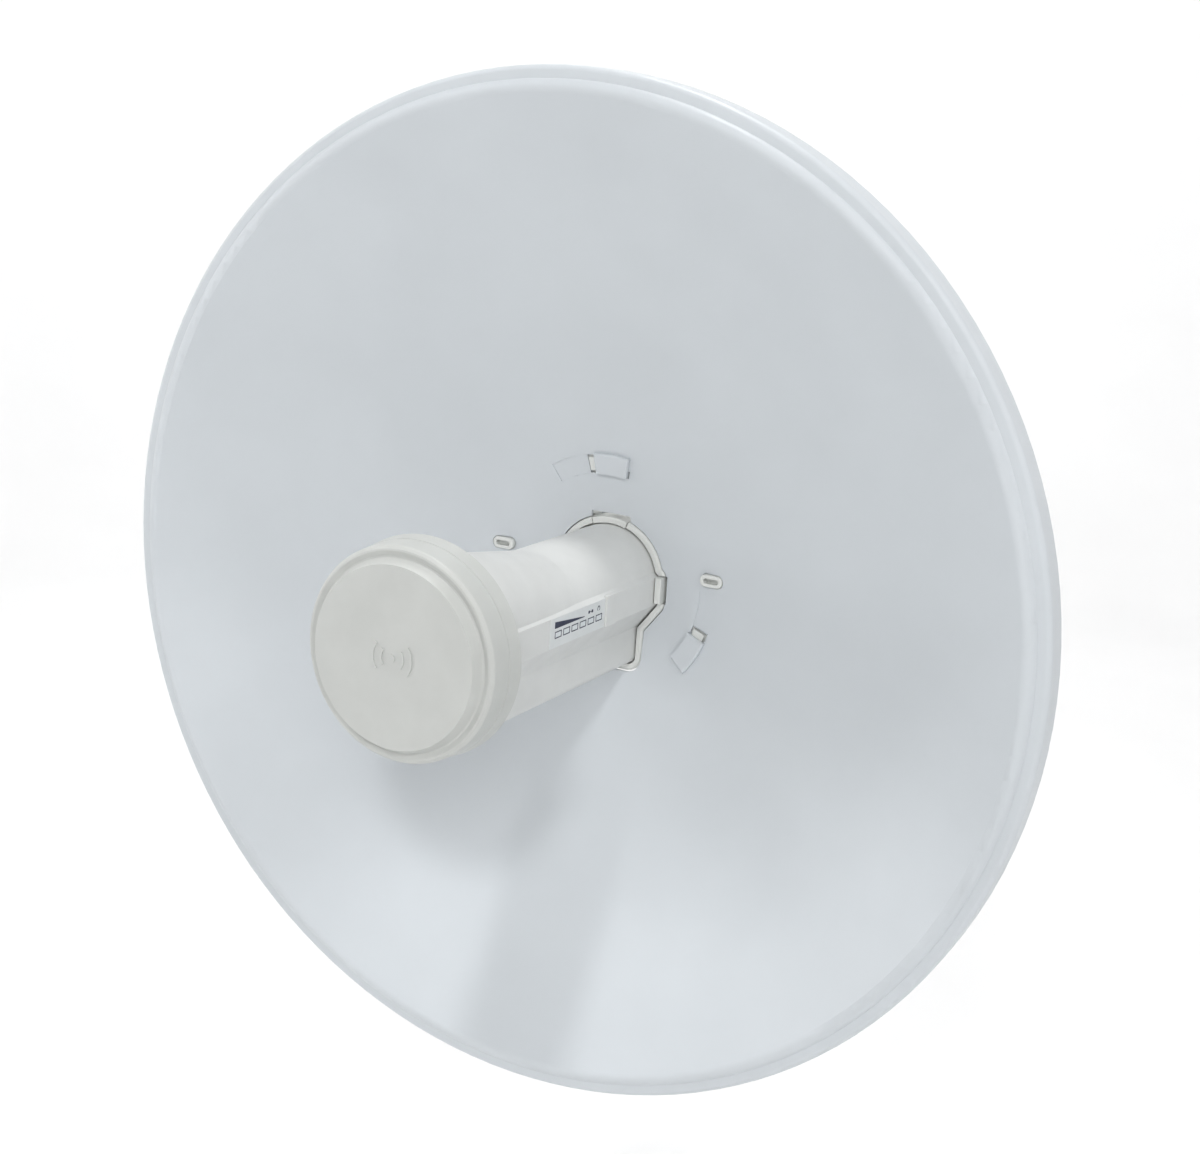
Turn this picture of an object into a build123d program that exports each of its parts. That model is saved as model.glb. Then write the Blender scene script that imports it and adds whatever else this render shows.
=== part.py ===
from build123d import *
import os
from math import cos, radians, sin, sqrt

os.makedirs("parts", exist_ok=True)

# All sizes are in millimetres. +Z runs up the pole, the dish faces -Y, and the pole's axis is at x = y = 0.
# A station is a distance in front of the dish's vertex, along -Y.

# Reflector
VERTEX_Y = -92.0
FOCAL = 157.0
DISH_R = 210.0
MIRROR_R = 199.5
SHEET = 1.2
SHEET_START_R = 20.0
FLANGE_S = 62.0
LIP_S = 50.0

# Feed section, seen from the front
ARCH_R = 23.1
SHOULDER_Z = 5.4
PANEL_X = 24.2
PANEL_TOP = 3.9
PANEL_BOTTOM = -8.3
BOX_X = 15.4
BOX_TOP = -19.8
BOX_BOTTOM = -36.2
BOX_CORNER_R = 3.0
FEED_WALL = 2.0
FEED_BACK_S = -22.0
FEED_FRONT_S = 142.5
FLARE_START_S = 60.0
FLARE_RISE = 0.155
FLANGE_R = 38.8
FLANGE_T = 2.5
TUBE_HOLE_R = 10.55

# Collar, latches and twist-lock of the rear housing and the sheet
SLIDE_GAP = 0.35
COLLAR_WALL = 3.2
COLLAR_BACK_S = -24.0
COLLAR_FRONT_S = 1.7
MOUTH_GAP = 0.5
MOUTH_DEPTH = 3.0
LATCH_BACK_S = -20.0
LATCH_GAP_DEG = 1.0
TOP_LATCH_DEG = (-20.0, 18.0)
SIDE_LATCH_Z = (-7.2, 4.2)
SIDE_LATCH_FRONT_S = 4.6
LOCK_ANGLES = (0.0, 120.0, 240.0)
TONGUE_R = (45.0, 54.0)
TONGUE_DEG = (-8.5, 9.9)
TONGUE_RISE = 2.1
LOCK_SLOT_DEG = (-12.5, -8.4)
RECESS_DEG = (-32.0, -12.7)
RECESS_DEPTH = 0.35
END_SLIT_DEG = (9.9, 10.8)
MOAT = 1.3
MOAT_S = -2.0
OVAL_X = 51.0
OVAL_Z = 7.2
OVAL = (10.5, 5.3)
OVAL_SLOT = (7.0, 2.2)

# Rear housing plate, ribs and tilt ears
PLATE_R = 74.0
PLATE_GAP = 0.05
PLATE_T = 2.6
PLATE_BACK = -SHEET - PLATE_GAP - PLATE_T
RIM_WALL_T = 2.5
RIB_T = 2.2
RIB_S = -5.0
EAR_X = (30.0, 35.0)

# Tilt pivot, lock and bracket
PIVOT_Y = -58.0
LOCK_Z = 26.0
TILT_DEG = 20.0
TILT_BOLT_R = 3.0
FIT = 0.06
SLOT_GAP = 0.35
CHEEK_X = (35.5, 38.5)
WEB_Y = (-30.0, -27.0)
WEB_X = 60.0
WEB_Z = 25.0
SADDLE_Y = -8.0
SADDLE_X = 34.0
STEEL = 3.0
TOOTH_PITCH = 3.0
TOOTH_DEPTH = 1.2

# Pole clamp
POLE_R = 24.15
STRAP_Z = 15.0
STRAP_EAR_Y = 9.05
CLAMP_BOLT_X = 49.0
CLAMP_BOLT_R = 4.0
CLAMP_BOLT_END_Y = 52.0

# Cap and parts under it
CAP_FRONT_S = 160.9
CAP_BACK_S = 140.6
CAP_SEAM_S = 147.0
MARK_DOT_R = 1.5
MARK_ARC_R = (4.8, 8.4)
MARK_LINE = 1.2
MARK_RISE = 0.4

# Indicator row on the right-hand panel
PANEL_RIB_S = (39.4, 47.4)
LABEL_S = (47.5, 90.8)
LABEL_Z = (-8.1, 3.8)
LABEL_T = 0.3
LIGHT_FRONT_S = 86.9
LIGHT_PITCH = 6.45
LIGHT_SIZE = (4.3, 2.0)
LIGHT_Z = -3.1
LIGHT_COUNT = 6

# Boards and connector
PCB_X = 16.8
PCB_TOP = -11.4
PCB_T = 1.6
PCB_S = (-20.0, 112.0)
PCB_SCREW_X = 15.0
PCB_SCREW_S = (4.0, 100.0)
JACK_X = 8.0
JACK_H = 13.2
JACK_S = (-22.0, -2.0)
SOCKET_X = 5.95
SOCKET_Z = (-24.0, -15.6)
BUTTON_X = 10.6
BUTTON_Z = -16.4
COVER_SCREW_Z = (18.5, -31.4)


def save(node, shape):
    export_step(shape, f"parts/{node}.step")


def axial(station):
    """Y coordinate of a station in front of the vertex."""
    return VERTEX_Y - station


def slab_s(sketch, back, front):
    """Extrude a section drawn in X and Z between two stations."""
    return extrude(Plane.XZ.offset(back - VERTEX_Y) * sketch, amount=front - back)


def slab_y(sketch, y_front, y_back):
    """Extrude a section drawn in X and Z between two Y positions."""
    return extrude(Plane.XZ.offset(-y_back) * sketch, amount=y_back - y_front)


def slab_x(sketch, x_low, x_high):
    """Extrude a section drawn in Y and Z between two X positions."""
    return extrude(Plane.YZ.offset(x_low) * sketch, amount=x_high - x_low)


def block(x, s, z):
    """Box between two X positions, two stations and two heights."""
    centre = Pos((x[0] + x[1]) / 2, axial((s[0] + s[1]) / 2), (z[0] + z[1]) / 2)
    return centre * Box(abs(x[1] - x[0]), abs(s[1] - s[0]), abs(z[1] - z[0]))


def both_sides(shape):
    return shape + mirror(shape, Plane.YZ)


def hexagon(across_flats):
    return RegularPolygon(across_flats / sqrt(3), 6)


def depth(r):
    """Station of the reflecting surface at a radius."""
    return r**2 / (4 * FOCAL)


def bowl_edge(r0, r1, offset):
    """Exact parabola arc between two radii, moved forward by an offset."""
    control = r0 * r1 / (4 * FOCAL)
    return Bezier(
        (r0, axial(depth(r0) + offset)),
        ((r0 + r1) / 2, axial(control + offset)),
        (r1, axial(depth(r1) + offset)),
    )


def bowl_layer(r0, r1, back, front):
    """Half section of a shell that follows the bowl between two forward offsets."""
    rear = bowl_edge(r0, r1, back)
    face = bowl_edge(r0, r1, front)
    return make_face([rear, face, Line(rear @ 0, face @ 0), Line(rear @ 1, face @ 1)])


def sector(section, start, end):
    """Turn a half section clockwise, seen from the front, between two angles past the top."""
    return revolve(Rot(Y=start - 90) * section, Axis.Y, end - start)


def turned(points):
    """Solid of revolution about the dish axis from (radius, station) corners."""
    return revolve(make_face(Polyline(*[(r, axial(s)) for r, s in points], close=True)), Axis.Y)


def feed_outline(grow=0.0):
    """Keyhole section of the feed, grown outwards or shrunk by a distance."""
    shoulder = (sqrt(ARCH_R**2 - SHOULDER_Z**2), SHOULDER_Z)
    right = [shoulder, (PANEL_X, PANEL_TOP), (PANEL_X, PANEL_BOTTOM), (BOX_X, BOX_TOP), (BOX_X, BOX_BOTTOM)]
    left = [(-x, z) for x, z in reversed(right)]
    arch = ThreePointArc(left[-1], (0, ARCH_R), right[0])
    section = make_face(arch.edges() + Polyline(*right, *left).edges())
    section = fillet(section.vertices().sort_by(Axis.Y)[:2], BOX_CORNER_R)
    return offset(section, grow) if grow else section


# ---------------------------------------------------------------- reflector

def pressed_lock(sheet, angle):
    """Presses one twist-lock into the sheet: a raised tongue, open at a slot, and a shallow lead-in recess."""
    r0, r1 = TONGUE_R
    start, end = angle + TONGUE_DEG[0], angle + TONGUE_DEG[1]
    tongue = sector(bowl_layer(r0, r1, -SHEET, TONGUE_RISE), start, end)
    front = tongue.edges().filter_by(lambda e: e.center().Y < axial(depth((r0 + r1) / 2) + 1.6))
    sheet += fillet(front, 0.9)
    sheet -= sector(bowl_layer(r0 + SHEET, r1 - SHEET, -SHEET - 1, TONGUE_RISE - SHEET), start - 0.1, end - 1.4)
    slot = bowl_layer(r0 + 0.5, r1 - 0.5, -4, 4)
    sheet -= sector(slot, angle + LOCK_SLOT_DEG[0], angle + LOCK_SLOT_DEG[1])
    slit = bowl_layer(r0, r0 + 3.2, -4, 4)
    sheet -= sector(slit, angle + END_SLIT_DEG[0], angle + END_SLIT_DEG[1])
    recess = bowl_layer(r0 + 0.3, r1 - 0.3, -RECESS_DEPTH, 1)
    return sheet - sector(recess, angle + RECESS_DEG[0], angle + RECESS_DEG[1])


def dish_reflector():
    mirror_end = (MIRROR_R, axial(depth(MIRROR_R)))
    sheet_end = (MIRROR_R, axial(depth(MIRROR_R) - SHEET))
    edges = [
        bowl_edge(SHEET_START_R, MIRROR_R, 0),
        ThreePointArc(mirror_end, (202.2, axial(63.9)), (204.9, axial(FLANGE_S))),
        Line((204.9, axial(FLANGE_S)), (207.8, axial(FLANGE_S))),
        ThreePointArc((207.8, axial(FLANGE_S)), (209.36, axial(61.36)), (DISH_R, axial(59.8))),
        Line((DISH_R, axial(59.8)), (DISH_R, axial(LIP_S))),
        Line((DISH_R, axial(LIP_S)), (DISH_R - SHEET, axial(LIP_S))),
        Line((DISH_R - SHEET, axial(LIP_S)), (DISH_R - SHEET, axial(59.6))),
        ThreePointArc((DISH_R - SHEET, axial(59.6)), (208.45, axial(60.45)), (207.6, axial(60.8))),
        Line((207.6, axial(60.8)), (204.4, axial(60.8))),
        ThreePointArc((204.4, axial(60.8)), (201.9, axial(62.6)), sheet_end),
        bowl_edge(SHEET_START_R, MIRROR_R, -SHEET),
        Line((SHEET_START_R, axial(depth(SHEET_START_R))), (SHEET_START_R, axial(depth(SHEET_START_R) - SHEET))),
    ]
    sheet = revolve(make_face(edges), Axis.Y)
    sheet -= slab_s(feed_outline(SLIDE_GAP + COLLAR_WALL + 0.45), -10, 10)
    sheet -= block((-9.5, 9.5), (-10, 10), (20, 27.9))
    sheet -= block((-28.9, 28.9), (-10, 10), (SIDE_LATCH_Z[0] - 0.5, SIDE_LATCH_Z[1] + 0.5))
    for angle in LOCK_ANGLES:
        sheet = pressed_lock(sheet, angle)
    oval = SlotOverall(OVAL[0] + 0.5, OVAL[1] + 0.5)
    for side in (-1, 1):
        sheet -= slab_s(Pos(side * OVAL_X, OVAL_Z) * oval, -5, 15)
    return sheet


# ---------------------------------------------------------------- rear housing

def lock_lugs():
    """Hooks that pass through the sheet's slots and lie under its raised tongues."""
    lug = bowl_layer(TONGUE_R[0] + 1.7, TONGUE_R[1] - 1.7, PLATE_BACK + 1, TONGUE_RISE - SHEET - 0.15)
    solid = Part()
    for angle in LOCK_ANGLES:
        solid += sector(lug, angle + LOCK_SLOT_DEG[0] + 0.9, angle + TONGUE_DEG[0] + 8)
    return solid


def oval_bosses():
    boss = slab_s(SlotOverall(*OVAL), 1.5, 5.6)
    boss = fillet(boss.edges().filter_by(lambda e: e.center().Y < axial(5.5)), 0.7)
    boss -= slab_s(SlotOverall(*OVAL_SLOT), 2.0, 6)
    return both_sides(Pos(OVAL_X, 0, OVAL_Z) * boss)


def housing_ribs():
    """Six radial ribs behind the plate, from the collar to the rim wall."""
    front = bowl_edge(25, PLATE_R - 1, PLATE_BACK + 1)
    back = Polyline(front @ 0, (25, axial(RIB_S)), (PLATE_R - 1, axial(RIB_S)), front @ 1)
    zone = revolve(make_face(front.edges() + back.edges()), Axis.Y)
    bar = block((25, PLATE_R - 1), (RIB_S - 1, 15), (-RIB_T / 2, RIB_T / 2))
    ribs = Part()
    for step in range(6):
        ribs += zone & (Rot(Y=30 + 60 * step) * bar)
    return ribs


def tilt_ears():
    outline = Polyline(
        (-89, -32), (-56, -12), (-46, -6), (-46, 28), (-52, 35), (-64, 35), (-89, 40), close=True
    )
    ear = slab_x(fillet(make_face(outline).vertices().sort_by(Axis.X)[2:], 4), *EAR_X)
    for z in (0, LOCK_Z):
        ear -= slab_x(Pos(PIVOT_Y, z) * Circle(TILT_BOLT_R + FIT), *EAR_X)
    return both_sides(ear)


def rear_housing():
    solid = sector(bowl_layer(25, PLATE_R, PLATE_BACK, PLATE_BACK + PLATE_T), 0, 360)
    rim = turned([(PLATE_R - RIM_WALL_T, RIB_S), (PLATE_R, RIB_S), (PLATE_R, 6), (PLATE_R - RIM_WALL_T, 6)])
    solid += rim + housing_ribs()
    outside = feed_outline(SLIDE_GAP + COLLAR_WALL)
    solid -= slab_s(offset(outside, MOAT) - outside, MOAT_S, 10)
    collar = slab_s(outside, COLLAR_BACK_S, COLLAR_FRONT_S)
    solid += chamfer(collar.edges().filter_by(lambda e: e.center().Y < axial(COLLAR_FRONT_S - 0.1)), 0.8)
    solid += tilt_ears() + lock_lugs() + oval_bosses()
    solid -= slab_s(feed_outline(SLIDE_GAP), COLLAR_BACK_S - 1, COLLAR_FRONT_S + 10)
    solid -= slab_s(feed_outline(SLIDE_GAP + MOUTH_GAP), COLLAR_FRONT_S - MOUTH_DEPTH, COLLAR_FRONT_S + 10)
    ring = make_face(Polyline(*[
        (r, axial(s)) for r, s in ((22, LATCH_BACK_S), (27.9, LATCH_BACK_S), (27.9, 12), (22, 12))
    ], close=True))
    solid -= sector(ring, TOP_LATCH_DEG[0] - LATCH_GAP_DEG, TOP_LATCH_DEG[1] + LATCH_GAP_DEG)
    side_gap = (SIDE_LATCH_Z[0] - 0.4, SIDE_LATCH_Z[1] + 0.4)
    for side in (-1, 1):
        solid -= block((side * 22, side * 28.9), (LATCH_BACK_S, 12), side_gap)
    return solid


def latch_top():
    """Springy tongue over the feed's arch, free at the front and rooted at the back of the collar."""
    inner = ARCH_R + SLIDE_GAP
    outer = inner + COLLAR_WALL - 0.3
    back = LATCH_BACK_S + 0.3
    section = make_face(Polyline(*[
        (r, axial(s)) for r, s in ((inner, back), (outer, back), (outer, 2.1), (inner, 2.1))
    ], close=True))
    tongue = sector(section, *TOP_LATCH_DEG)
    return fillet(tongue.edges().filter_by(lambda e: e.center().Y < axial(2.0)), 0.5)


def latch_side():
    inner = PANEL_X + SLIDE_GAP
    tongue = block((inner, inner + 2.9), (LATCH_BACK_S + 0.3, SIDE_LATCH_FRONT_S), SIDE_LATCH_Z)
    return fillet(tongue.edges().filter_by(lambda e: e.center().Y < axial(4.5)), 0.6)


# ---------------------------------------------------------------- feed

def flare(radius, back, front):
    """Leaning barrel that lifts the top of the feed up to the cap."""
    rings = [Pos(0, (s - FLARE_START_S - 8) * FLARE_RISE) * Circle(radius) for s in (back, front)]
    planes = [Plane.XZ.offset(s - VERTEX_Y) for s in (back, front)]
    return loft([plane * ring for plane, ring in zip(planes, rings)], ruled=True)


def light_stations():
    """Front and back station of each indicator window."""
    return [(LIGHT_FRONT_S - LIGHT_PITCH * i - LIGHT_SIZE[0], LIGHT_FRONT_S - LIGHT_PITCH * i)
            for i in range(LIGHT_COUNT)]


def light_heights(gap=0.0):
    return (LIGHT_Z - LIGHT_SIZE[1] / 2 - gap, LIGHT_Z + LIGHT_SIZE[1] / 2 + gap)


def feed_housing():
    solid = slab_s(feed_outline(), FEED_BACK_S, FEED_FRONT_S)
    solid += flare(ARCH_R, FLARE_START_S, FEED_FRONT_S)
    cavity = slab_s(feed_outline(-FEED_WALL), FEED_BACK_S, FEED_FRONT_S)
    cavity += flare(ARCH_R - FEED_WALL, FLARE_START_S, FEED_FRONT_S)
    solid -= cavity
    solid += slab_s(Circle(FLANGE_R), FEED_FRONT_S, FEED_FRONT_S + FLANGE_T)
    solid -= slab_s(Circle(TUBE_HOLE_R), FEED_FRONT_S - 1, FEED_FRONT_S + 10)
    for side in (-1, 1):
        rib_x = (side * (PANEL_X - 1), side * (PANEL_X + 1.2))
        solid += block(rib_x, PANEL_RIB_S, (PANEL_BOTTOM + 0.2, PANEL_TOP + 0.7))
        solid += block((side * 13.2, side * 17.3), PCB_S, (PCB_TOP - PCB_T - 2.4, PCB_TOP - PCB_T - 0.02))
        for s in PCB_SCREW_S:
            hole = Pos(side * PCB_SCREW_X, axial(s), PCB_TOP - 3) * Cylinder(1.15, 8)
            solid -= hole
    for z in COVER_SCREW_Z:
        post = slab_s(Pos(0, z) * Circle(3.2), FEED_BACK_S, -8)
        solid += post & slab_s(feed_outline(-1), FEED_BACK_S, -8)
        solid -= slab_s(Pos(0, z) * Circle(1.55), FEED_BACK_S, -11)
    for stations in light_stations():
        solid -= block((PANEL_X - 4, PANEL_X + 1), (stations[0] - 0.1, stations[1] + 0.1), light_heights(0.1))
    return solid


def rear_end_cover():
    cover = slab_s(feed_outline(), FEED_BACK_S - 3, FEED_BACK_S - 0.02)
    cover -= block((-6.4, 6.4), (-30, 0), (SOCKET_Z[0] - 0.4, SOCKET_Z[1] + 0.4))
    cover -= slab_s(Pos(BUTTON_X, BUTTON_Z) * Circle(1.95), -30, 0)
    for z in COVER_SCREW_Z:
        cover -= slab_s(Pos(0, z) * Circle(1.7), -30, 0)
    return cover


def cover_screws():
    screws = Part()
    for z in COVER_SCREW_Z:
        head = slab_s(Pos(0, z) * Circle(2.8), -26.8, -25.02)
        head -= slab_s(Pos(0, z) * (Rectangle(3.6, 0.8) + Rectangle(0.8, 3.6)), -26.9, -25.9)
        screws += head + slab_s(Pos(0, z) * Circle(1.5), -25.02, -12)
    return screws


def wave_mark():
    """Generic radio mark: a dot with two arcs on each side."""
    wedge = make_face(Polyline((0, 0), (12, 9), (12, -9), close=True))
    mark = Circle(MARK_DOT_R)
    for r in MARK_ARC_R:
        arc = (Circle(r + MARK_LINE / 2) - Circle(r - MARK_LINE / 2)) & wedge
        mark += arc + mirror(arc, Plane.YZ)
    return mark


def feed_cap():
    """Shallow drum with a bevelled front disc, a soft valley round it, a lip and a wider rear skirt."""
    cap = turned([
        (0, CAP_FRONT_S), (34.2, CAP_FRONT_S), (35.7, 157.5), (36.1, 156.9), (36.7, 156.6),
        (38.5, 157.2), (39.2, 157.1), (40.0, 156.3), (40.4, 155.6),
        (41.0, CAP_SEAM_S + 0.2), (40.7, CAP_SEAM_S), (41.1, CAP_SEAM_S - 0.2), (41.8, CAP_BACK_S),
        (39.9, CAP_BACK_S), (39.2, 146.4), (37.4, 146.4), (37.4, 153.6), (33.6, 155.6), (32.6, 158.7), (0, 158.7),
    ])
    return cap + slab_s(wave_mark(), CAP_FRONT_S - 0.3, CAP_FRONT_S + MARK_RISE)


def cap_gasket():
    return turned([(36.0, 145.05), (39.0, 145.05), (39.0, 146.35), (36.0, 146.35)])


def led_label():
    label = block((PANEL_X, PANEL_X + LABEL_T), LABEL_S, LABEL_Z)
    for stations in light_stations():
        label -= block((PANEL_X - 1, PANEL_X + 1), stations, light_heights())
    return label


def led_light_pipes():
    """Bent clear guides that carry each light from the board to its window."""
    pipes = Part()
    for stations in light_stations():
        pipes += block((14.3, PANEL_X + LABEL_T - 0.1), stations, light_heights())
        pipes += block((14.3, 16.8), stations, (PCB_TOP + 0.9, LIGHT_Z))
    return pipes


def led_chips():
    chips = Part()
    for back, front in light_stations():
        middle = (back + front) / 2
        chips += block((14.6, 16.4), (middle - 1.6, middle + 1.6), (PCB_TOP, PCB_TOP + 0.8))
    return chips


def main_pcb():
    board = block((-PCB_X, PCB_X), PCB_S, (PCB_TOP - PCB_T, PCB_TOP))
    for side in (-1, 1):
        for s in PCB_SCREW_S:
            board -= Pos(side * PCB_SCREW_X, axial(s), PCB_TOP) * Cylinder(1.3, 6)
    return board


def pcb_screws():
    screws = Part()
    for side in (-1, 1):
        for s in PCB_SCREW_S:
            head = Pos(0, 0, 0.75) * Cylinder(2.2, 1.5)
            shank = Pos(0, 0, -1.9) * Cylinder(1.1, 3.8)
            screws += Pos(side * PCB_SCREW_X, axial(s), PCB_TOP) * (head + shank)
    return screws


def rf_shield_can():
    outside = block((-12, 12), (8, 44), (PCB_TOP, PCB_TOP + 4))
    return outside - block((-11.6, 11.6), (8.4, 43.6), (PCB_TOP, PCB_TOP + 3.6))


def ethernet_transformer():
    return block((-6.5, 6.5), (-16, -1), (PCB_TOP, PCB_TOP + 5.6))


def rj45_jack():
    bottom = PCB_TOP - PCB_T - JACK_H
    jack = block((-JACK_X, JACK_X), JACK_S, (bottom, PCB_TOP - PCB_T))
    jack -= block((-SOCKET_X, SOCKET_X), (-23, -8), (SOCKET_Z[0] + 1.8, SOCKET_Z[1]))
    jack -= block((-3.1, 3.1), (-23, -8), (SOCKET_Z[0], SOCKET_Z[1]))
    return jack


def jack_contacts():
    """Eight sprung wires under the socket's roof."""
    wires = Part()
    for i in range(8):
        x = (i - 3.5) * 1.02
        wires += block((x - 0.2, x + 0.2), (-19, -8), (SOCKET_Z[1] - 1.2, SOCKET_Z[1] - 0.7))
    return wires


def reset_switch():
    return block((BUTTON_X - 2.4, BUTTON_X + 2.4), (-18.4, -14.4), (PCB_TOP - PCB_T - 5, PCB_TOP - PCB_T))


def reset_button():
    place = Pos(BUTTON_X, BUTTON_Z)
    return slab_s(place * Circle(1.6), -25.6, -19.2) + slab_s(place * Circle(2.4), -21.5, -20.7)


def waveguide_tube():
    tube = slab_s(Circle(10.5), 50, 146) - slab_s(Circle(9.3), 51.2, 146)
    return tube - Pos(0, axial(60), -10) * Cylinder(1.6, 4)


def launch_probe():
    return Pos(0, axial(60), (PCB_TOP - 2) / 2) * Cylinder(0.65, -PCB_TOP - 2)


def dielectric_support():
    """Stepped plastic rod that holds the sub-reflector in front of the tube."""
    return turned([(0, 128), (9.25, 128), (9.25, 144), (7, 144), (7, 147), (15, 150), (0, 150)])


def sub_reflector():
    return turned([(0, 150.05), (15, 150.05), (33.5, 152), (33.5, 153), (15, 151.3), (0, 151.3)])


# ---------------------------------------------------------------- tilt bracket and pole clamp

def saddle():
    """Horizontal plate with a toothed V that bears on the pole."""
    wall = (POLE_R * sqrt(2) + WEB_Y[1], WEB_Y[1])
    mouth = (POLE_R * sqrt(2) + SADDLE_Y + 1, SADDLE_Y + 1)
    notch = make_face(Polyline(wall, mouth, (-mouth[0], mouth[1]), (-wall[0], wall[1]), close=True))
    plate = Rectangle(2 * SADDLE_X, SADDLE_Y - WEB_Y[0], align=(Align.CENTER, Align.MIN))
    plate = Pos(0, WEB_Y[0]) * plate - notch
    for i in range(6):
        along = 3.0 + TOOTH_PITCH * i
        for side in (-1, 1):
            tooth = Rot(Z=45) * Rectangle(TOOTH_DEPTH * sqrt(2), TOOTH_DEPTH * sqrt(2))
            x = wall[0] + along
            plate -= Pos(side * x, wall[1] + along) * (Rot(Z=45) * tooth)
    return extrude(plate, amount=STEEL)


def cheek():
    """Side plate with the pivot hole and the curved slot for the lock bolt."""
    outline = Polyline(
        (WEB_Y[1], -WEB_Z), (-58, -13), (-70, -6), (-74, 22), (-68, 34), (-48, 36), (WEB_Y[1], WEB_Z), close=True
    )
    face = fillet(make_face(outline).vertices().sort_by(Axis.X)[:5], 5)
    face -= Pos(PIVOT_Y, 0) * Circle(TILT_BOLT_R + FIT)
    half = radians(TILT_DEG + 1)
    ends = [(LOCK_Z * sin(a), LOCK_Z * cos(a)) for a in (-half, half)]
    path = ThreePointArc(ends[0], (0, LOCK_Z), ends[1])
    slot = SlotArc(path, 2 * (TILT_BOLT_R + SLOT_GAP))
    face -= Pos(PIVOT_Y, 0) * slot
    return slab_x(face, *CHEEK_X)


def tilt_bracket():
    web = slab_y(RectangleRounded(2 * WEB_X, 2 * WEB_Z, 6), *WEB_Y)
    for side in (-1, 1):
        web -= slab_y(Pos(side * CLAMP_BOLT_X, 0) * Rectangle(8.2, 8.2), *WEB_Y)
    top = Pos(0, 0, WEB_Z - STEEL) * saddle()
    bottom = Pos(0, 0, -WEB_Z) * saddle()
    return web + both_sides(cheek()) + top + bottom


def carriage_bolts():
    """Domed bolts with a square neck in the bracket's web."""
    head_r, head_h = 9.0, 4.4
    ball_r = (head_r**2 + head_h**2) / (2 * head_h)
    dome = slab_y(Circle(head_r), -head_h, 0) & (Pos(0, ball_r - head_h, 0) * Sphere(ball_r))
    bolts = Part()
    for side in (-1, 1):
        place = Pos(side * CLAMP_BOLT_X, 0)
        bolts += Pos(side * CLAMP_BOLT_X, WEB_Y[0] - 0.02, 0) * dome
        bolts += slab_y(place * Rectangle(8, 8), WEB_Y[0] - 0.1, WEB_Y[1] - 0.2)
        shank = slab_y(place * Circle(CLAMP_BOLT_R), WEB_Y[1] - 0.4, CLAMP_BOLT_END_Y)
        bolts += chamfer(shank.edges().sort_by(Axis.Y)[-1], 0.8)
    return bolts


def pole_strap():
    """Half-round strap behind the pole, with flat ears for the clamp bolts."""
    outer = POLE_R + STEEL
    above = Pos(0, STRAP_EAR_Y) * Rectangle(80, 40, align=(Align.CENTER, Align.MIN))
    band = (Circle(outer) - Circle(POLE_R)) & above
    bead = (Circle(outer + 1.6) - Circle(POLE_R + 1)) & (Pos(0, 4) * above)
    ear = Pos(42, STRAP_EAR_Y + STEEL / 2) * Rectangle(38, STEEL)
    band += ear + mirror(ear, Plane.YZ)
    strap = extrude(Plane.XY.offset(-STRAP_Z) * band, amount=2 * STRAP_Z)
    strap += extrude(Plane.XY.offset(-4) * bead, amount=8)
    for side in (-1, 1):
        strap -= slab_y(Pos(side * CLAMP_BOLT_X, 0) * Circle(CLAMP_BOLT_R + 0.35), 0, 30)
    return strap


def strap_washers():
    ring = Circle(8) - Circle(CLAMP_BOLT_R + 0.3)
    start = STRAP_EAR_Y + STEEL
    return both_sides(slab_y(Pos(CLAMP_BOLT_X, 0) * ring, start + 0.02, start + 1.6))


def strap_nuts():
    start = STRAP_EAR_Y + STEEL + 1.62
    place = Pos(CLAMP_BOLT_X, 0)
    nut = slab_y(place * hexagon(13), start, start + 6.8) & slab_y(place * Circle(7.2), start, start + 6.8)
    return both_sides(nut - slab_y(place * Circle(CLAMP_BOLT_R + FIT), start - 1, start + 9))


def tilt_bolts(z):
    """Hexagon bolts through both cheeks and ears at one height."""
    place = Pos(PIVOT_Y, z)
    start = CHEEK_X[1] + 0.3 + 1.6
    head = slab_x(place * hexagon(10), start + 0.02, start + 4) & slab_x(place * Circle(5.5), start, start + 4)
    return both_sides(head + slab_x(place * Circle(TILT_BOLT_R), 23.5, start + 0.5))


def tilt_washers():
    start = CHEEK_X[1] + 0.3
    washers = Part()
    for z in (0, LOCK_Z):
        ring = Circle(6) - Circle(TILT_BOLT_R + 0.2)
        washers += both_sides(slab_x(Pos(PIVOT_Y, z) * ring, start, start + 1.6))
    return washers


def tilt_nuts():
    nuts = Part()
    for z in (0, LOCK_Z):
        nut = hexagon(10) - Circle(TILT_BOLT_R + FIT)
        nuts += both_sides(slab_x(Pos(PIVOT_Y, z) * nut, EAR_X[0] - 5, EAR_X[0] - 0.02))
    return nuts


save("dish_reflector", dish_reflector())
save("rear_housing", rear_housing())
save("latch_top", latch_top())
save("latch_right", latch_side())
save("latch_left", mirror(latch_side(), Plane.YZ))
save("feed_housing", feed_housing())
save("rear_end_cover", rear_end_cover())
save("cover_screws", cover_screws())
save("feed_cap", feed_cap())
save("cap_gasket", cap_gasket())
save("led_label", led_label())
save("led_light_pipes", led_light_pipes())
save("led_chips", led_chips())
save("main_pcb", main_pcb())
save("pcb_screws", pcb_screws())
save("rf_shield_can", rf_shield_can())
save("ethernet_transformer", ethernet_transformer())
save("rj45_jack", rj45_jack())
save("jack_contacts", jack_contacts())
save("reset_switch", reset_switch())
save("reset_button", reset_button())
save("waveguide_tube", waveguide_tube())
save("launch_probe", launch_probe())
save("dielectric_support", dielectric_support())
save("sub_reflector", sub_reflector())
save("tilt_bracket", tilt_bracket())
save("carriage_bolts", carriage_bolts())
save("pole_strap", pole_strap())
save("strap_washers", strap_washers())
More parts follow.
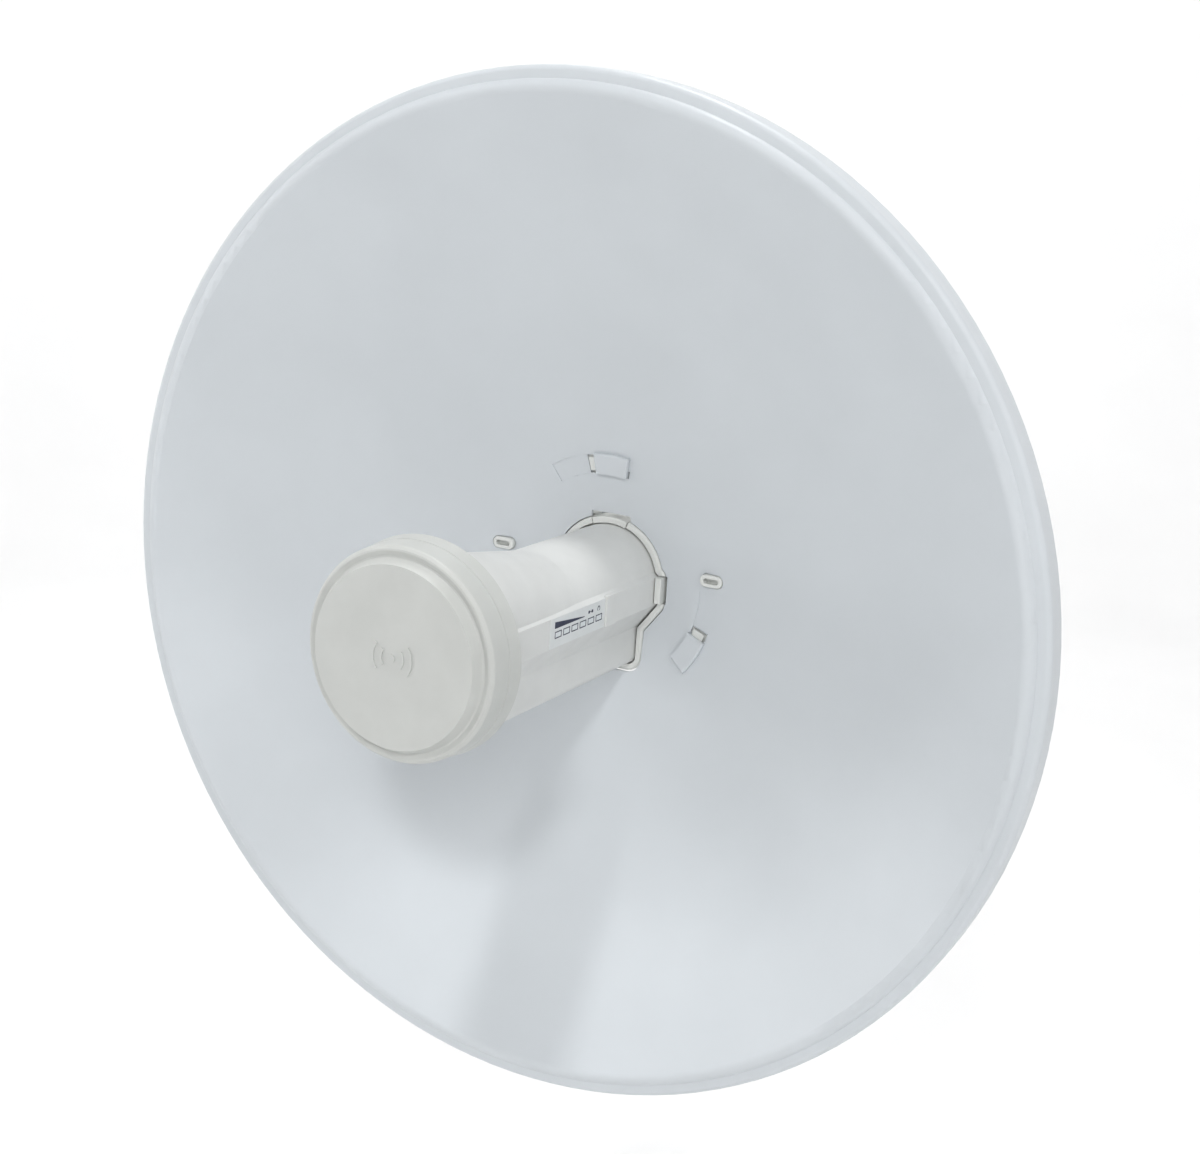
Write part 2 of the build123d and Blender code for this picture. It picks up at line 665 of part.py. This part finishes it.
save("strap_nuts", strap_nuts())
save("pivot_bolts", tilt_bolts(0))
save("lock_bolts", tilt_bolts(LOCK_Z))
save("tilt_washers", tilt_washers())
save("tilt_nuts", tilt_nuts())
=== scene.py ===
from math import cos, pi, radians, sin

import bmesh
import bpy
from mathutils import Matrix, Vector


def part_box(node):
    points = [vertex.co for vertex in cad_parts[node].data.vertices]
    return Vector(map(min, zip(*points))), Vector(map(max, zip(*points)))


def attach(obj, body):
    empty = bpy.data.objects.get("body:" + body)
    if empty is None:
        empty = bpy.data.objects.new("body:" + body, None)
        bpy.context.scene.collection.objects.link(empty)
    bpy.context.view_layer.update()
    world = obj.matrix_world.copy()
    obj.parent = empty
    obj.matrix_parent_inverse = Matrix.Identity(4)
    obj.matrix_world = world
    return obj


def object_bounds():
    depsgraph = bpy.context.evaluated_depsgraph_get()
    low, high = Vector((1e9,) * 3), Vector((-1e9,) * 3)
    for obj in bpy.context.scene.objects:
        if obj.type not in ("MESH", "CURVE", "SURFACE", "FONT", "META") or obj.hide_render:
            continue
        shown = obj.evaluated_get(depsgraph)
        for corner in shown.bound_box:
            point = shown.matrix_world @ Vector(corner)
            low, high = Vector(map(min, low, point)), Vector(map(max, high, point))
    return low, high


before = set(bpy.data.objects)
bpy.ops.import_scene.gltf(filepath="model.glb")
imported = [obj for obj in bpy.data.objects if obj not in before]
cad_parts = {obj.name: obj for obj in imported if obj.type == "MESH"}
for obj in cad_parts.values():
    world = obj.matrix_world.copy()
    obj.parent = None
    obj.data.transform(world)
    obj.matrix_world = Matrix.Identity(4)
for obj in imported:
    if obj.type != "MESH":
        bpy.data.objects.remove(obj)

MM = 0.001
cad_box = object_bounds()

# Stations on the feed are distances in mm from the hub's front face, along -Y.
HUB_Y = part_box("dish_reflector")[1][1] - 1.0 * MM
LABEL_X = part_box("led_label")[1][0]

# Indicator windows in the label, in mm: the first one's front end, the pitch, and each one's size.
WINDOW_COUNT = 6
WINDOW_FRONT = 85.9
WINDOW_PITCH = 6.45
WINDOW_LONG = 4.3
WINDOW_HIGH = 2.0
WINDOW_MID = -3.1
FRAME_LINE = 0.4
INK_THICK = 0.04

# Camera: direction, tilt, distance from the hub, and the hub's place off the middle of the view.
CAMERA_AZIMUTH = 28.26
CAMERA_HEIGHT = 14.03
CAMERA_ROLL = 3.51
CAMERA_DISTANCE = 781.89
CAMERA_ASIDE = (3.30, 0.59)
CAMERA_LENS = 54.27
CAMERA_SENSOR = 36

# Stage, in metres: flat floor, the curve up into the wall, and the wall's top.
FLOOR_DROP = 0.2
FLOOR_R = 1.6
CURVE_R = 0.8
WALL_TOP = 2.6


def linear(hex_code, alpha=1.0):
    """sRGB hex to the linear colour that shaders use."""
    channels = [int(hex_code[i:i + 2], 16) / 255 for i in (1, 3, 5)]
    return [c / 12.92 if c <= 0.04045 else ((c + 0.055) / 1.055) ** 2.4 for c in channels] + [alpha]


# ---------------------------------------------------------------- materials

def add(tree, kind, links=None, values=None, **settings):
    """Adds a node with its settings, socket values and incoming links, and returns it."""
    node = tree.nodes.new(kind)
    for name, value in settings.items():
        setattr(node, name, value)
    for key, value in (values or {}).items():
        node.inputs[key].default_value = value
    for key, source in (links or {}).items():
        tree.links.new(source, node.inputs[key])
    return node


def start(name, colour, roughness, metallic=0.0, **values):
    """A new material with its principled shader, and the object's own coordinates."""
    material = bpy.data.materials.new(name)
    material.use_nodes = True
    tree = material.node_tree
    shader = tree.nodes["Principled BSDF"]
    shader.inputs["Base Color"].default_value = linear(colour)
    shader.inputs["Roughness"].default_value = roughness
    shader.inputs["Metallic"].default_value = metallic
    for key, value in values.items():
        shader.inputs[key.replace("_", " ")].default_value = value
    place = add(tree, "ShaderNodeTexCoord").outputs["Object"]
    return material, tree, shader, place


def noise_fac(tree, place, size_mm, detail):
    """Noise whose patches have a real size."""
    noise = add(tree, "ShaderNodeTexNoise", {"Vector": place},
                {"Scale": 1 / (size_mm * MM), "Detail": detail})
    return noise.outputs["Fac"]


def tint(tree, shader, place, colours, size_mm):
    """Slow drift between two close colours, over patches of a real size."""
    ramp = add(tree, "ShaderNodeMapRange", {"Value": noise_fac(tree, place, size_mm, 3.0)},
               {"From Min": 0.35, "From Max": 0.65})
    mix = add(tree, "ShaderNodeMix", {"Factor": ramp.outputs["Result"]}, data_type="RGBA")
    mix.inputs["A"].default_value = linear(colours[0])
    mix.inputs["B"].default_value = linear(colours[1])
    tree.links.new(mix.outputs["Result"], shader.inputs["Base Color"])


def uneven_gloss(tree, shader, place, low, high, size_mm):
    """Roughness that wanders between two values over patches of a real size."""
    span = add(tree, "ShaderNodeMapRange", {"Value": noise_fac(tree, place, size_mm, 4.0)},
               {"From Min": 0.3, "From Max": 0.7, "To Min": low, "To Max": high})
    tree.links.new(span.outputs["Result"], shader.inputs["Roughness"])


def grain(tree, shader, place, size_mm, depth_mm, strength, under=None):
    """Fine relief with bumps of a real width and depth."""
    bump = add(tree, "ShaderNodeBump", {"Height": noise_fac(tree, place, size_mm, 2.0)},
               {"Strength": strength, "Distance": depth_mm * MM})
    if under is not None:
        tree.links.new(under, bump.inputs["Normal"])
    tree.links.new(bump.outputs["Normal"], shader.inputs["Normal"])
    return bump.outputs["Normal"]


def powder_coated_steel(name, colours, roughness=0.42):
    """Polyester powder coat on pressed steel: a satin skin with faint orange peel about 1.5 mm across."""
    material, tree, shader, place = start(name, colours[0], roughness, IOR=1.5)
    tint(tree, shader, place, colours, 60)
    uneven_gloss(tree, shader, place, roughness - 0.05, roughness + 0.06, 25)
    peel = grain(tree, shader, place, 1.6, 0.010, 0.55)
    grain(tree, shader, place, 0.5, 0.004, 0.5, under=peel)
    return material


def moulded_asa(name, colours, roughness=0.5, grain_mm=0.45, depth_mm=0.012):
    """Moulded ASA, the outdoor plastic: an eggshell sheen over a fine spark-eroded grain.
    The real grain is about 0.1 mm; it is drawn at 0.45 mm so that it shows."""
    material, tree, shader, place = start(name, colours[0], roughness, IOR=1.52)
    tint(tree, shader, place, colours, 18)
    uneven_gloss(tree, shader, place, roughness - 0.06, roughness + 0.06, 9)
    grain(tree, shader, place, grain_mm, depth_mm, 0.6)
    return material


def zinc_plated_steel(name):
    """Zinc-plated steel fasteners: a cool, slightly cloudy metal with a satin polish."""
    material, tree, shader, place = start(name, "#A9ADB1", 0.3, 1.0)
    tint(tree, shader, place, ("#A2A7AC", "#BFC1C1"), 3.5)
    uneven_gloss(tree, shader, place, 0.26, 0.45, 2.0)
    grain(tree, shader, place, 0.4, 0.006, 0.5)
    return material


def solder_mask(name):
    """Glossy green solder mask over glass-fibre board, with paler copper pours under it."""
    material, tree, shader, place = start(name, "#0F4A2A", 0.28, IOR=1.55)
    cells = add(tree, "ShaderNodeTexBrick", {"Vector": place}, {"Scale": 1.0, "Mortar Size": 0.4 * MM,
                "Brick Width": 6 * MM, "Row Height": 2.5 * MM})
    cells.inputs["Color1"].default_value = linear("#0F4A2A")
    cells.inputs["Color2"].default_value = linear("#14552F")
    cells.inputs["Mortar"].default_value = linear("#1E6B3C")
    tree.links.new(cells.outputs["Color"], shader.inputs["Base Color"])
    grain(tree, shader, place, 0.8, 0.02, 0.4)
    return material


def turned_aluminium(name):
    """Turned aluminium: a silky metal with fine tool rings round the feed's axis."""
    material, tree, shader, place = start(name, "#D2D4D6", 0.3, 1.0)
    rings = add(tree, "ShaderNodeTexWave", {"Vector": place}, {"Scale": 1 / (6 * MM), "Distortion": 0.5},
                wave_type="RINGS", rings_direction="Y")
    bump = add(tree, "ShaderNodeBump", {"Height": rings.outputs["Fac"]},
               {"Strength": 0.4, "Distance": 0.01 * MM})
    tree.links.new(bump.outputs["Normal"], shader.inputs["Normal"])
    uneven_gloss(tree, shader, place, 0.22, 0.38, 4)
    return material


def simple_plastic(name, colours, roughness, grain_mm=0.6, **values):
    """Plain moulded plastic, rubber, resin or ink: slight grain and drift keep it from looking flat."""
    material, tree, shader, place = start(name, colours[0], roughness, **values)
    tint(tree, shader, place, colours, 6)
    uneven_gloss(tree, shader, place, max(0.05, roughness - 0.08), roughness + 0.08, 4)
    grain(tree, shader, place, grain_mm, 0.01, 0.5)
    return material


def frosted_polycarbonate(name):
    """Frosted polycarbonate light guide: milky white under a gloss skin, with soft flow lines."""
    material, tree, shader, place = start(name, "#D9DDDF", 0.38, IOR=1.5)
    grain(tree, shader, place, 2.0, 0.01, 0.3)
    return material


def plated_contact(name):
    """Gold flash over nickel on sprung contacts: a warm, clean glint."""
    material, tree, shader, place = start(name, "#D9B45C", 0.22, 1.0)
    tint(tree, shader, place, ("#D9B45C", "#C79D45"), 1.2)
    grain(tree, shader, place, 0.3, 0.004, 0.4)
    return material


def tinned_steel(name):
    """Tin-plated sheet steel of a screening can: bright, with a soft spangle."""
    material, tree, shader, place = start(name, "#C9CACB", 0.25, 1.0)
    cells = add(tree, "ShaderNodeTexVoronoi", {"Vector": place}, {"Scale": 1 / (3 * MM)})
    span = add(tree, "ShaderNodeMapRange", {"Value": cells.outputs["Distance"]},
               {"To Min": 0.18, "To Max": 0.38})
    tree.links.new(span.outputs["Result"], shader.inputs["Roughness"])
    grain(tree, shader, place, 1.0, 0.004, 0.4)
    return material


dish_coat = powder_coated_steel("powder_coated_steel_dish", ("#C9CED2", "#C6CBCF"), 0.42)
hub_asa = moulded_asa("moulded_asa_hub", ("#DADCD9", "#D6D8D5"), 0.45)
feed_asa = moulded_asa("moulded_asa_feed", ("#D8D9D7", "#D4D5D3"), 0.48)
cap_asa = moulded_asa("moulded_asa_cap", ("#C0C2BF", "#BCBEBB"), 0.5, 0.6, 0.02)
bracket_coat = powder_coated_steel("powder_coated_steel_bracket", ("#B4B9BD", "#AFB4B8"), 0.4)
zinc = zinc_plated_steel("zinc_plated_steel")
film = simple_plastic("polyester_label_film", ("#D9DCDC", "#D5D8D8"), 0.38, 0.8, IOR=1.57)
ink = simple_plastic("screen_printed_ink", ("#262C47", "#20263D"), 0.5, 0.4)
guide = frosted_polycarbonate("frosted_polycarbonate")

FINISHES = {
    "dish_reflector": dish_coat,
    "rear_housing": hub_asa, "latch_top": hub_asa, "latch_right": hub_asa, "latch_left": hub_asa,
    "feed_housing": feed_asa, "rear_end_cover": feed_asa, "feed_cap": cap_asa,
    "cap_gasket": simple_plastic("epdm_rubber", ("#151617", "#1D1E1F"), 0.75, 0.5),
    "led_label": film, "led_light_pipes": guide,
    "led_chips": simple_plastic("cast_silicone_over_chip", ("#E6DDB0", "#DDD4A4"), 0.35),
    "main_pcb": solder_mask("solder_mask_on_glass_fibre"),
    "rf_shield_can": tinned_steel("tin_plated_sheet"),
    "ethernet_transformer": simple_plastic("black_epoxy_moulding", ("#17181A", "#1E2022"), 0.5),
    "rj45_jack": simple_plastic("black_nylon", ("#1A1B1D", "#202124"), 0.45),
    "jack_contacts": plated_contact("gold_flashed_contact"),
    "waveguide_tube": turned_aluminium("turned_aluminium"),
    "dielectric_support": simple_plastic("turned_ptfe", ("#F0F0EE", "#E9E9E7"), 0.55),
    "tilt_bracket": bracket_coat, "pole_strap": bracket_coat,
}
FINISHES["reset_switch"] = FINISHES["reset_button"] = FINISHES["rj45_jack"]
FINISHES["launch_probe"] = FINISHES["jack_contacts"]
FINISHES["sub_reflector"] = FINISHES["waveguide_tube"]
for node in ("cover_screws", "pcb_screws", "carriage_bolts", "strap_washers", "strap_nuts",
             "pivot_bolts", "lock_bolts", "tilt_washers", "tilt_nuts"):
    FINISHES[node] = zinc
for node, material in FINISHES.items():
    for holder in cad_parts[node].material_slots:
        holder.material = material


# ---------------------------------------------------------------- printed label

def printed(name, loops):
    """Ink shapes on the label, as thin prisms: each loop lists (station, height) corners in mm."""
    shape = bmesh.new()
    for loop in loops:
        near = [shape.verts.new((LABEL_X - 0.01 * MM, HUB_Y - s * MM, z * MM)) for s, z in loop]
        far = [shape.verts.new((LABEL_X + INK_THICK * MM, HUB_Y - s * MM, z * MM)) for s, z in loop]
        shape.faces.new(near)
        shape.faces.new(far[::-1])
        for i in range(len(loop)):
            j = (i + 1) % len(loop)
            shape.faces.new((near[i], far[i], far[j], near[j]))
    bmesh.ops.recalc_face_normals(shape, faces=shape.faces)
    mesh = bpy.data.meshes.new(name)
    shape.to_mesh(mesh)
    shape.free()
    mesh.materials.append(ink)
    piece = bpy.data.objects.new(name, mesh)
    bpy.context.scene.collection.objects.link(piece)
    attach(piece, "feed")


def bar(s0, s1, z0, z1):
    return [(s0, z0), (s1, z0), (s1, z1), (s0, z1)]


def ring_pieces(s, z, radius, width, start_deg, end_deg, count):
    """Short straight pieces along an arc, as loops."""
    loops = []
    step = radians(end_deg - start_deg) / count
    for i in range(count):
        a, b = radians(start_deg) + i * step, radians(start_deg) + (i + 1) * step
        inner, outer = radius - width / 2, radius + width / 2
        corners = ((inner, a), (outer, a), (outer, b), (inner, b))
        loops.append([(s + reach * cos(angle), z + reach * sin(angle)) for reach, angle in corners])
    return loops


def window_frame(index):
    """Four lines round one indicator window."""
    s1 = WINDOW_FRONT - index * WINDOW_PITCH
    s0 = s1 - WINDOW_LONG
    z0, z1 = WINDOW_MID - WINDOW_HIGH / 2, WINDOW_MID + WINDOW_HIGH / 2
    line = FRAME_LINE
    return [bar(s0 - line, s1 + line, z1, z1 + line), bar(s0 - line, s1 + line, z0 - line, z0),
            bar(s0 - line, s0, z0, z1), bar(s1, s1 + line, z0, z1)]


printed("light_frames", [loop for index in range(WINDOW_COUNT) for loop in window_frame(index)])
printed("signal_wedge", [[(86.6, -0.4), (86.6, 2.3), (63.4, -0.1), (63.4, -0.4)]])
printed("link_icon", [bar(56.6, 57.8, 0.2, 1.4), bar(59.2, 60.4, 0.2, 1.4), bar(57.8, 59.2, 0.65, 0.95)])
power_ring = ring_pieces(52.0, 0.8, radius=0.95, width=0.3, start_deg=-60, end_deg=240, count=14)
printed("power_icon", power_ring + [bar(51.85, 52.15, 0.9, 2.1)])


# ---------------------------------------------------------------- camera, stage and light

def camera():
    """Three-quarter view from the front right, a little above, with the camera slightly tilted."""
    azimuth, height, roll = radians(CAMERA_AZIMUTH), radians(CAMERA_HEIGHT), radians(CAMERA_ROLL)
    right = Vector((cos(azimuth), sin(azimuth), 0))
    back = Vector((sin(azimuth) * cos(height), -cos(azimuth) * cos(height), sin(height)))
    up = back.cross(right)
    hub = Vector((0, HUB_Y, 0))
    aside, above = CAMERA_ASIDE
    place = hub - aside * MM * right - above * MM * up + CAMERA_DISTANCE * MM * back
    x_axis = right * cos(roll) + up * sin(roll)
    y_axis = -right * sin(roll) + up * cos(roll)
    turn = Matrix((x_axis, y_axis, back)).transposed().to_4x4()
    data = bpy.data.cameras.new("camera")
    data.sensor_fit = "HORIZONTAL"
    data.sensor_width = CAMERA_SENSOR
    data.lens = CAMERA_LENS
    data.clip_start, data.clip_end = 0.01, 30
    eye = bpy.data.objects.new("camera", data)
    eye.matrix_world = Matrix.Translation(place) @ turn
    bpy.context.scene.collection.objects.link(eye)
    bpy.context.scene.camera = eye


def area_light(name, place, target, size, power):
    """Round soft light, aimed at a point."""
    data = bpy.data.lights.new(name, "AREA")
    data.shape = "DISK"
    data.size = size
    data.energy = power
    lamp = bpy.data.objects.new(name, data)
    place, target = Vector(place), Vector(target)
    aim = (place - target).to_track_quat("Z", "Y").to_matrix().to_4x4()
    lamp.matrix_world = Matrix.Translation(place) @ aim
    bpy.context.scene.collection.objects.link(lamp)


def stage():
    """Pale floor that curves up into a round wall, open at the top."""
    profile = [(0, 0), (FLOOR_R, 0)]
    for angle in range(5, 95, 5):
        turn = radians(angle)
        profile.append((FLOOR_R + sin(turn) * CURVE_R, CURVE_R - cos(turn) * CURVE_R))
    profile.append((FLOOR_R + CURVE_R, WALL_TOP))
    floor_z = cad_box[0][2] - FLOOR_DROP
    shape = bmesh.new()
    line = [shape.verts.new((r, 0, floor_z + z)) for r, z in profile]
    edges = [shape.edges.new(pair) for pair in zip(line, line[1:])]
    bmesh.ops.spin(shape, geom=line + edges, cent=(0, 0, 0), axis=(0, 0, 1), angle=2 * pi, steps=96,
                   use_duplicate=False, use_merge=True)
    bmesh.ops.remove_doubles(shape, verts=shape.verts, dist=0.0001)
    bmesh.ops.recalc_face_normals(shape, faces=shape.faces)
    bmesh.ops.reverse_faces(shape, faces=shape.faces)
    for face in shape.faces:
        face.smooth = True
    mesh = bpy.data.meshes.new("pale_floor")
    shape.to_mesh(mesh)
    shape.free()
    floor = bpy.data.objects.new("pale_floor", mesh)
    bpy.context.scene.collection.objects.link(floor)
    paper, tree, shader, place = start("matt_paper_sweep", "#F1F1F1", 0.9)
    tint(tree, shader, place, ("#F0F0F0", "#F3F3F3"), 400)
    mesh.materials.append(paper)


camera()
stage()
world = bpy.data.worlds.new("soft_white")
world.use_nodes = True
world.node_tree.nodes["Background"].inputs["Color"].default_value = linear("#F4F8FF")
world.node_tree.nodes["Background"].inputs["Strength"].default_value = 0.04
bpy.context.scene.world = world
bpy.context.scene.view_settings.view_transform = "Standard"
area_light("overhead", (0.0, -0.40, 2.2), (0, -0.155, 0), 0.25, 20)
area_light("front_window", (0.58, -1.68, 1.08), (0, -0.155, 0), 0.26, 9.2)
area_light("right_bank", (1.6, -1.0, 1.4), (0, -0.15, 0), 1.0, 9.6)
area_light("upper_left_bank", (-1.6, -1.0, 1.4), (0, -0.15, 0), 1.0, 4)
area_light("left_bank", (-2.1, -0.9, 0.0), (0, -0.15, 0), 1.0, 9.6)
area_light("backdrop_wash", (-0.4, 0.7, 2.0), (-0.9, 1.7, -0.33), 1.0, 24)
